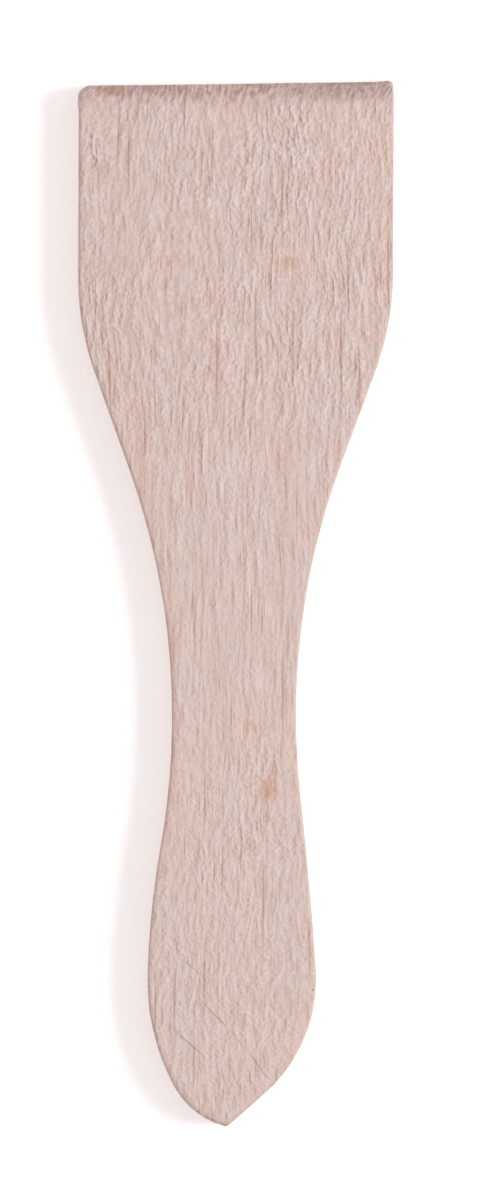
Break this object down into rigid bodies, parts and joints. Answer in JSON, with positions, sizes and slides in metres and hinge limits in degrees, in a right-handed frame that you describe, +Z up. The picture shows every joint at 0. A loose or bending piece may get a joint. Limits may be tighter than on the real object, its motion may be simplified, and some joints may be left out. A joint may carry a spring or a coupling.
{
  "type": "clay modelling spatula",
  "caption": "Flat wooden clay modelling spatula: a square bevelled blade narrows through a waist to a leaf-shaped handle with a blunt pointed heel.",
  "frame": {"origin": "middle of the outline's bounding box, on the flat underside that it rests on", "axes": "+Z up out of the bevelled face, +Y along the length towards the square blade, +X across the blade to the right"},
  "size_m": [0.0393, 0.13, 0.005],
  "materials": {
    "beech": "bare sanded beech, matt, grain slightly raised"
  },
  "bodies": {
    "root": {"beech_spatula": "beech"}
  },
  "joints": []
}
